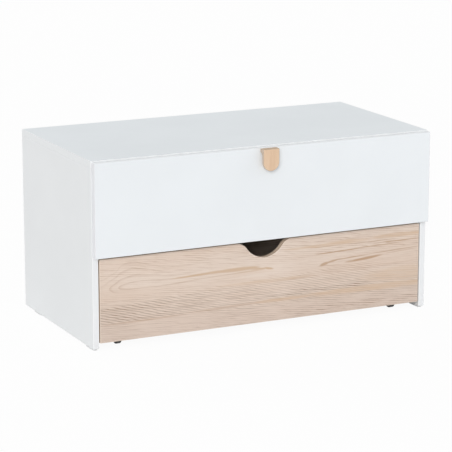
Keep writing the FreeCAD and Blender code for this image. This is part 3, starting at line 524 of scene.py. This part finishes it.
def scoop_floor(a, b):
    """Whether an edge lies on the board's top, between the scoop's lower corners."""
    return (min(a.z, b.z) > FRONT_HIGH.z - TOUCH
            and max(abs(a.x), abs(b.x)) < SCOOP_BOTTOM + TOUCH)


def scoop_corner(a, b, across, up):
    """Whether an edge runs through the board at a corner of the scoop."""
    return abs(a.x - b.x) < TOUCH and all(
        abs(abs(end.x) - across) < TOUCH and abs(end.z - up) < TOUCH for end in (a, b))


bpy.ops.object.select_all(action="DESELECT")
bpy.ops.mesh.primitive_cube_add(size=1, location=(FRONT_LOW + FRONT_HIGH) / 2,
                                scale=FRONT_HIGH - FRONT_LOW)
wood_front = bpy.context.object
wood_front.name = "wood_front"
bpy.ops.object.transform_apply(location=True, rotation=True, scale=True)
bpy.ops.object.mode_set(mode="EDIT")
for across in (-SCOOP_TOP, -SCOOP_BOTTOM, SCOOP_BOTTOM, SCOOP_TOP):
    bpy.ops.mesh.select_all(action="SELECT")
    bpy.ops.mesh.bisect(plane_co=(across, 0, 0), plane_no=(1, 0, 0))
select_edges(wood_front, scoop_floor)
bpy.ops.transform.translate(value=(0, 0, -SCOOP_DEEP))
for across, up, run in ((SCOOP_BOTTOM, FRONT_HIGH.z - SCOOP_DEEP, SCOOP_ROUND),
                        (SCOOP_TOP, FRONT_HIGH.z, SCOOP_LIP)):
    select_edges(wood_front, lambda a, b: scoop_corner(a, b, across, up))
    bpy.ops.mesh.bevel(offset=run, offset_type="OFFSET", segments=SCOOP_STEPS, profile=0.5,
                       affect="EDGES", clamp_overlap=False)
bpy.ops.object.mode_set(mode="OBJECT")
easing = wood_front.modifiers.new("easing", "BEVEL")
easing.width = ARRIS
easing.segments = ARRIS_STEPS
easing.limit_method = "ANGLE"
easing.angle_limit = ARRIS_ANGLE
easing.use_clamp_overlap = False
bpy.ops.object.modifier_apply(modifier=easing.name)
bpy.ops.object.shade_smooth_by_angle(angle=SMOOTH_ANGLE)

LARCH = (225, 206, 191)
LARCH_PALE = (229, 213, 200)
LARCH_ROSE = (222, 204, 191)
LARCH_LINE = (164, 139, 120)
LARCH_LINE_WARM = (178, 146, 121)
LARCH_TAN = (208, 180, 153)
LARCH_HONEY = (213, 186, 160)
LARCH_BROWN = (190, 158, 131)
# A paler tone painted on the rounded arrises as a highlight.
LARCH_ARRIS_HIGHLIGHT = (244, 232, 218)
LARCH_ROUGH = 0.48
LARCH_FIBRE_ROUGH = 0.1
LARCH_RELIEF = 0.03 * MM
# The edge band's tan is painted paler than its own colour, as painted light against the shadow the upper
# front casts into the scoop.
EDGE_TAN_LIT = (236, 213, 191)
EDGE_BROWN_LINE = (178, 149, 124)

# From here on the places and lengths of the grain are in millimetres. A pair of places is an eased
# border: nothing shows at the first and all at the second. EDGE_SLANT is how far the grain falls
# for each millimetre through the board, GRAIN_THROUGH the length of its clouds that way.
PER_METRE = 1000
BOARD_END = 450
EDGE_SLANT = 0.8
GRAIN_THROUGH = 1000

# The heart of the log along the board: its height, how deep it lies under the face, and how far
# the rings flare out above it.
HEART_HIGH = ((-450, 150), (-400, 150.5), (-363, 152.8), (-327, 153.8), (-254, 150), (-207, 153),
              (-107, 156), (-48, 157.5), (0, 153), (60, 149), (158, 147), (229, 148.5), (290, 150.5),
              (340, 153.5), (400, 157), (450, 160))
HEART_DEEP = ((-450, 23), (-437, 22), (-423, 19.5), (-400, 11.6), (-389, 10.5), (-363, 7.6), (-327, 6.0),
              (-254, 8.5), (-207, 10.3), (-107, 9.3), (-48, 10.6), (21, 12), (90, 17), (158, 12),
              (206, 8), (265, 4.3), (320, 5), (380, 7), (450, 8))
HEART_FLARE = ((-450, 0.2), (-404, 0.47), (-389, 0.59), (-357, 0.64), (-330, 0.52), (-295, 0.42),
               (-269, 0.26), (-242, 0.12), (-200, 0.0), (450, 0.0))
FLARE_FROM = 10.0

# Rings round the heart: their spacing, the radius of the first, where in a ring its dark wood
# lies, and where on the board the rings show.
RING = 6.4
INNER_RING = 12.0
RING_DARKENS = (0.5, 0.97)
RING_ENDS = (1.0, 0.97)
RING_CURVE = 1.5
RING_DEEP = 0.5
RINGS_REACH = (42.0, 16.0)
RINGS_BELOW = (-18.0, -7.0)
RINGS_LEFT = (-200.0, -300.0)
RINGS_RIGHT_SHARE = 0.15
LOWER_REACH = (18.0, 26.0)
LOWER_HIGH = (22.0, 6.0)
LOWER_LOSS = 0.8

# Hatching below the heart: slanting lines, their spacing, their fall to the right, their bends,
# the rising line they end at above, and where along the board they are strong.
HATCH = 6.6
HATCH_FALL = 0.28
HATCH_SWAY = 7.0
HATCH_RIPPLE = 4.0
HATCH_EASE = (-0.1, 1.0)
HATCH_TOP = 104.0
HATCH_TOP_RISE = 0.055
HATCH_TOP_START = -430.0
HATCH_TOP_BORDER = (-4.0, 6.0)
HATCH_LOW = (58.0, 68.0)
HATCH_RIGHT = (380.0, 250.0)
HATCH_SHARE = 0.5
HATCH_LEFT = ((0.25, (-120.0, -260.0)), (0.25, (-250.0, -340.0)))

# Strokes of the grain all over the board: lines like the hatching's, but flatter and broken up,
# and the patches where they stand out or fall back, each with its share and its borders.
STROKE = 5.2
STROKE_FALL = 0.11
STROKE_SWAY = 6.0
STROKE_RIPPLE = 5.0
STROKE_EASE = (0.0, 1.0)
STROKE_BREAKS = (0.28, 0.66)
SHORT_BREAKS = (0.52, 0.7)
SHORT_STEEPER = 1.6
STROKE_PATCHES = (
    (-0.65, ((124.0, 136.0), (178.0, 166.0)), ()),
    (0.7, ((78.0, 83.0), (92.0, 87.0)), ((-60.0, 20.0), (380.0, 300.0))),
    (0.7, ((26.0, 31.0), (46.0, 38.0)), ((0.0, 80.0),)),
    (-0.5, ((62.0, 54.0),), ((-120.0, -220.0),)),
    (-0.45, ((88.0, 96.0), (126.0, 116.0)), ((-200.0, -60.0),)),
)

# How dark each kind of line is, how uneven along its length, and where all of the wood is duller,
# with the share and the borders of each place.
RING_DARK = 0.32
RING_LEAST = 0.5
HATCH_DARK = 0.58
HATCH_LEAST = 0.6
HATCH_UNEVEN = 0.8
STROKE_DARK = 0.44
STROKE_DARKER = 0.08
STROKE_DARKER_FROM = (0.0, 160.0)
SHORT_DARK = 0.08
FINE_DARK = 0.34
FINE_PATCHES = (0.5, 0.8)
FIBRE_DARK = 0.2
FIBRE_MEAN = 0.45
LINES_LESS = 0.02
DULL_PATCHES = (
    (0.1, ((190.0, 115.0),), ((-290.0, -420.0),)),
    (0.06, (), ((50.0, 110.0),)),
)
ROSE_BELOW = (115.0, 40.0)
ROSE_SHARE = 0.8
WARM_ABOVE = (104.0, 124.0)

# Streaks: middle along the board and up, half length, half width, rise along the board, droop at
# the ends, and how strong each is. The wide tan bands are broken up by strokes as well.
STREAK_EDGE = (1.0, 0.15)
TAN_BREAKS = (0.35, 0.75)
TAN_FLATTER = 0.5
TAN_LEAST = 0.6
TAN_UNEVEN = 0.9
TAN_STREAKS = (
    (-190, 160.0, 80, 3.4, 0.02, 0.0, 1.0),
    (-110, 161.8, 90, 4.4, 0.01, 0.0, 0.9),
    (-78, 162, 66, 6.4, 0.0, 1.0, 0.9),
    (-42, 161.5, 34, 5.0, -0.01, 0.0, 0.9),
    (-14, 157.2, 34, 3.0, -0.03, 0.0, 0.9),
    (11, 155.6, 17, 3.8, -0.2, 0.0, 1.0),
    (-45, 153.2, 50, 2.0, 0.01, 0.0, 0.55),
)
TAN_BANDS = (
    (10, 123, 160, 5.5, -0.01, 0.0, 0.5),
    (150, 197, 120, 5.0, 0.0, 0.0, 0.7),
    (235, 200, 80, 7.0, 0.0, 0.0, 0.8),
    (390, 203, 110, 7.0, 0.0, 0.0, 0.8),
    (340, 72, 290, 10.0, 0.0, 0.0, 0.75),
    (55, 71, 110, 5.5, 0.01, 0.0, 0.8),
    (420, 100, 180, 24.0, 0.0, 0.0, 0.5),
)
BROWN_STREAKS = (
    (169, 148.8, 17, 5.4, 0.22, 0.0, 0.85),
    (193, 154, 30, 2.8, 0.16, 0.0, 0.8),
    (245, 158.4, 66, 2.0, 0.055, 1.5, 0.8),
    (375, 164.2, 90, 1.8, 0.03, 1.2, 0.7),
    (288, 151, 62, 4.8, 0.085, 0.0, 1.0),
    (248, 148.2, 26, 2.4, 0.02, 0.0, 0.75),
    (390, 160, 60, 1.4, 0.05, 0.0, 0.45),
    (210, 177.4, 85, 2.0, 0.035, 0.0, 0.95),
    (330, 181.6, 95, 1.8, 0.015, 0.0, 0.75),
    (385, 188, 90, 1.8, 0.01, 1.0, 0.9),
    (310, 193, 90, 1.5, 0.005, 0.0, 0.7),
    (180, 193.5, 60, 1.5, 0.0, 0.0, 0.6),
    (185, 143.5, 45, 1.4, -0.03, 0.0, 0.5),
    (-330, 62.5, 140, 3.0, 0.012, 0.0, 0.4),
    (-110, 68, 130, 4.0, 0.02, 0.0, 0.35),
    (95, 120, 40, 1.4, -0.01, 0.0, 0.5),
    (370, 130, 100, 1.3, 0.0, 0.0, 0.3),
    (-160, 150, 135, 1.6, 0.043, 1.8, 0.35),
)
PALE_STREAKS = (
    (-345, 155, 75, 6.5, 0.0, 3.0, 0.6),
    (10, 141, 140, 6.0, 0.0, 0.0, 0.9),
    (45, 149, 45, 8.0, 0.0, 0.0, 0.6),
    (230, 168, 110, 5.0, 0.05, 0.0, 0.7),
    (110, 186, 110, 4.0, 0.02, 0.0, 0.8),
    (300, 185.5, 120, 2.5, 0.02, 0.0, 0.8),
)

# The decor band on the edges: how far a face turns before it is edge, and before it is arris,
# which gets a painted highlight; where a brown line lies behind the face; how much of the grain shows.
EDGE_FACING = (0.5, 0.2)
ARRIS_HIGHLIGHT_FACING = (0.98, 0.9)
BROWN_LINE_FROM = (0.9, 1.3)
BROWN_LINE_TO = (4.0, 3.4)
EDGE_FINE = 0.2
EDGE_FIBRE = 0.15

larch, shader, place = new_finish("larch_decor")
across, through, up = place.axes()
x = across * PER_METRE
y = (through - FRONT_LOW.y) * PER_METRE
z = up * PER_METRE + EDGE_SLANT * y


def drift(long, tall, detail, shift=(0.0, 0.0, 0.0)):
    """Noise drawn out along the board and nearly the same all through its thickness."""
    return place.noise([length * MM for length in (long, GRAIN_THROUGH, tall)], detail, shift)


sway = drift(long=160, tall=26, detail=2.0)
ripple = drift(long=40, tall=7, detail=3.0, shift=(0.0, 0.0, 7.0))
fine = drift(long=140, tall=1.7, detail=2.0, shift=(0.0, 0.0, 11.0))
fibre = drift(long=50, tall=0.8, detail=3.0)
cloud = drift(long=300, tall=30, detail=3.0, shift=(2.0, 0.0, 0.0))


def bent(swayed, rippled):
    """Heights on the board, bent by so many millimetres of sway and of ripple."""
    height = z + swayed * (sway - NOISE_MEAN)
    return height + rippled * (ripple - NOISE_MEAN) if rippled else height


z_bent = bent(swayed=4.0, rippled=2.4)


def along_board(steps):
    """A value that changes smoothly along the board, given at a few places."""
    most = max(value for spot, value in steps)
    span = 2 * BOARD_END
    stops = [((spot + BOARD_END) / span, value / most) for spot, value in steps]
    ramp = x.node("ShaderNodeValToRGB", {"stops": {"between": "B_SPLINE", "at": stops}},
                  {0: (x + BOARD_END) / span})
    return ramp * most


def patchwork(listed):
    """The shares of the listed patches, each inside its borders up and along the board."""
    total = 0.0
    for share, heights, places in listed:
        for border in [z.fade(*ease) for ease in heights] + [x.fade(*ease) for ease in places]:
            share = share * border
        total = total + share
    return total


def slanted_lines(step, fall, swayed, rippled, ease):
    """Even lines, a step apart, that fall to the right."""
    turn = (bent(swayed, rippled) + fall * x) / step
    return turn.math("SINE", turn * (2 * math.pi)).fade(*ease)


def flecks(long, thick, fall, row, breaks):
    """Short strokes that fall to the right, taken from one row of the noise."""
    spot = x.node("ShaderNodeCombineXYZ", {}, {
        0: x / long, 1: row, 2: (bent(STROKE_SWAY, 0) + fall * x) / thick})
    speckle = x.node("ShaderNodeTexNoise", {}, {"Vector": spot, "Scale": 1.0, "Detail": 1.0})
    return speckle.fade(*breaks)


def streaks(listed):
    """The strongest of the listed streaks at each spot."""
    strongest = None
    for mid_x, mid_z, half_long, half_wide, rise, droop, strength in listed:
        run = (x - mid_x) / half_long
        lift = (z_bent - mid_z - rise * (x - mid_x) + droop * (run * run)) / half_wide
        share = strength * (run * run + lift * lift).fade(*STREAK_EDGE)
        strongest = share if strongest is None else share.math("MAXIMUM", share, strongest)
    return strongest


off = z_bent - along_board(HEART_HIGH)
off = off - along_board(HEART_FLARE) * off.math("MAXIMUM", off - FLARE_FROM, 0.0)
deep = along_board(HEART_DEEP)
radius = (off * off + deep * deep) ** 0.5
turn = (radius - INNER_RING) / RING
ring = turn.math("FRACT", turn)
late = ring.fade(*RING_DARKENS) ** RING_CURVE * ring.fade(*RING_ENDS)
rings_shown = radius.fade(*RINGS_REACH) * off.fade(*RINGS_BELOW)
rings_shown = rings_shown * (RINGS_RIGHT_SHARE + (1 - RINGS_RIGHT_SHARE) * x.fade(*RINGS_LEFT))
rings_shown = rings_shown * (1 - LOWER_LOSS * radius.fade(*LOWER_REACH) * off.fade(*LOWER_HIGH))

hatch = slanted_lines(HATCH, HATCH_FALL, HATCH_SWAY, HATCH_RIPPLE, HATCH_EASE)
hatch_top = HATCH_TOP + HATCH_TOP_RISE * (x - HATCH_TOP_START)
hatch_shown = (hatch_top - z).fade(*HATCH_TOP_BORDER) * z.fade(*HATCH_LOW) * x.fade(*HATCH_RIGHT)
hatch_shown = hatch_shown * sum((share * x.fade(*ease) for share, ease in HATCH_LEFT), HATCH_SHARE)

stroke = slanted_lines(STROKE, STROKE_FALL, STROKE_SWAY, STROKE_RIPPLE, STROKE_EASE)
stroke = stroke * flecks(long=75.0, thick=7.0, fall=STROKE_FALL, row=0.0, breaks=STROKE_BREAKS)
stroke_shown = 1.0 + patchwork(STROKE_PATCHES)
stroke_dark = STROKE_DARK + STROKE_DARKER * x.fade(*STROKE_DARKER_FROM)
short_stroke = flecks(long=28.0, thick=2.4, fall=SHORT_STEEPER * STROKE_FALL, row=5.0,
                      breaks=SHORT_BREAKS)

lines = RING_DARK * late * rings_shown * (RING_LEAST + ripple) + patchwork(DULL_PATCHES)
lines = lines + HATCH_DARK * hatch * hatch_shown * (HATCH_LEAST + HATCH_UNEVEN * ripple)
lines = lines + stroke_dark * stroke * stroke_shown + SHORT_DARK * short_stroke - LINES_LESS
lines = lines + FINE_DARK * fine.fade(*FINE_PATCHES) + FIBRE_DARK * (fibre - FIBRE_MEAN)
line_tone = z.fade(*WARM_ABOVE).blend(shade(*LARCH_LINE), shade(*LARCH_LINE_WARM))
broken = flecks(long=60.0, thick=2.8, fall=TAN_FLATTER * STROKE_FALL, row=9.0, breaks=TAN_BREAKS)
tan_band = streaks(TAN_BANDS) * (TAN_LEAST + TAN_UNEVEN * broken)

ground = cloud.fade(*PATCHES).blend(shade(*LARCH), shade(*LARCH_PALE))
ground = (ROSE_SHARE * z.fade(*ROSE_BELOW)).blend(ground, shade(*LARCH_ROSE))
ground = streaks(PALE_STREAKS).blend(ground, shade(*LARCH_PALE))
ground = lines.blend(ground, line_tone)
ground = tan_band.blend(ground, shade(*LARCH_HONEY))
ground = streaks(TAN_STREAKS).blend(ground, shade(*LARCH_TAN))
ground = streaks(BROWN_STREAKS).blend(ground, shade(*LARCH_BROWN))

# The rounded arrises get a painted highlight.
facing = abs(place.facing()[OUTWARDS])
ground = facing.fade(*ARRIS_HIGHLIGHT_FACING).blend(ground, shade(*LARCH_ARRIS_HIGHLIGHT))
# A brown line on the edges, from about 1 to 4 mm behind the face.
brown_line = y.fade(*BROWN_LINE_FROM) * y.fade(*BROWN_LINE_TO)
# The edge band's pale tan is partly painted light.
edge_band = (EDGE_FINE * fine + EDGE_FIBRE * fibre).blend(shade(*EDGE_TAN_LIT), shade(*LARCH_LINE))
edge_band = brown_line.blend(edge_band, shade(*EDGE_BROWN_LINE))
lay_finish(shader, place, {
    "Base Color": facing.fade(*EDGE_FACING).blend(ground, edge_band),
    "Roughness": LARCH_ROUGH + LARCH_FIBRE_ROUGH * fibre,
    "Specular IOR Level": SOFT_GLOSS,
}, relief=fibre - RING_DEEP * late, depth=LARCH_RELIEF)
wood_front.data.materials.append(larch)
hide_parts("lower_front")
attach(wood_front, "lower_drawer")


# Castor housings of the lower drawer: black moulded plastic with a fine grain.
# Each is screwed under the floor board and holds a steel axle.

ENDS = [f"{end}_{side}" for end in ("front", "rear") for side in SIDES]
CASTOR = (38, 38, 40)
CASTOR_WORN = (58, 58, 60)

castor_plastic = grained("castor_plastic", CASTOR, CASTOR_WORN, grain=0.5 * MM, detail=2.0,
                         patches=(0.4, 0.8), rough=0.45, rough_more=0.15, depth=0.03 * MM)
dress(castor_plastic, *(f"{end}_castor_housing" for end in ENDS))


# Castor wheels: dark rubber-tyred rollers, a little dusty, that turn on the axles.
# The lower drawer rolls on them over the floor.

TYRE = (52, 50, 50)
TYRE_DUST = (82, 79, 76)

wheel_rubber = grained("wheel_rubber", TYRE, TYRE_DUST, grain=2 * MM, detail=3.0,
                       patches=(0.45, 0.8), rough=0.55, rough_more=0.2, depth=0.04 * MM)
dress(wheel_rubber, *(f"{end}_wheel" for end in ENDS))


# The studio: a pale floor, an even white surround and soft lamps around the dresser,
# the strongest of them beside the camera.

WHITE = (1, 1, 1, 1)
SURROUND = 0.54
# Each lamp: its turn from the front, its rise, its level on a face square to it, its spread.
LAMPS = (
    ("lamp_by_camera", -33.0, 22.0, 0.42, 24.0),
    ("lamp_right", 80.0, 25.0, 0.14, 40.0),
    ("lamp_behind", -165.0, 35.0, 0.16, 40.0),
)
FLOOR_WIDE = 60
FLOOR_PALE = 0.86
FLOOR_WHITE = 0.95

bpy.ops.object.select_all(action="DESELECT")
bpy.ops.mesh.primitive_plane_add(size=FLOOR_WIDE)
floor = bpy.context.object
floor.name = "floor"
paper, shader, place = new_finish("floor_paper")


def plain_view(start):
    """1 for what the camera sees, straight or mirrored, and 0 for light that falls on things."""
    seen = start.node("ShaderNodeLightPath", {}, {}, "Is Camera Ray")
    for ray in ("Is Glossy Ray", "Is Transmission Ray"):
        seen = seen.math("MAXIMUM", seen, seen.node("ShaderNodeLightPath", {}, {}, ray))
    return seen


glow = place.node("ShaderNodeEmission", {}, {"Color": WHITE, "Strength": 1.0})
matt = place.node("ShaderNodeBsdfDiffuse", {}, {"Color": (FLOOR_PALE, FLOOR_PALE, FLOOR_PALE, 1)})
skin = place.node("ShaderNodeMixShader", {}, {0: plain_view(place) * FLOOR_WHITE, 1: matt, 2: glow})
place.tree.links.new(skin.socket, place.tree.nodes["Material Output"].inputs["Surface"])
floor.data.materials.append(paper)

world = bpy.data.worlds.new("surround")
bpy.context.scene.world = world
world.use_nodes = True
tree = world.node_tree
air = plain_view(Tone(tree, None))
even = air.node("ShaderNodeBackground", {}, {"Color": WHITE, "Strength": SURROUND})
white = air.node("ShaderNodeBackground", {}, {"Color": WHITE, "Strength": 1.0})
both = air.node("ShaderNodeMixShader", {}, {0: air, 1: even, 2: white})
tree.links.new(both.socket, tree.nodes["World Output"].inputs["Surface"])

for name, turn, rise, level, spread in LAMPS:
    lamp = bpy.data.objects.new(name, bpy.data.lights.new(name, "SUN"))
    bpy.context.scene.collection.objects.link(lamp)
    lamp.data.energy = level * math.pi
    lamp.data.angle = math.radians(spread)
    lamp.rotation_euler = (math.radians(90 - rise), 0, math.radians(turn))


# The camera: a long lens between five and six metres off, to the left of the dresser and above it.
# It looks down a little, and the view adds no film look to the colours.

CAMERA_PLACE = (-2.3700, -4.8887, 1.4991)
CAMERA_TURN = -25.824
CAMERA_DIP = 13.252
CAMERA_LENS = 172.29
CAMERA_SENSOR = 36.0

camera = bpy.data.objects.new("camera", bpy.data.cameras.new("camera"))
bpy.context.scene.collection.objects.link(camera)
camera.location = CAMERA_PLACE
camera.rotation_euler = (math.radians(90 - CAMERA_DIP), 0, math.radians(CAMERA_TURN))
camera.data.sensor_width = CAMERA_SENSOR
camera.data.lens = CAMERA_LENS
bpy.context.scene.camera = camera
bpy.context.scene.view_settings.view_transform = "Standard"
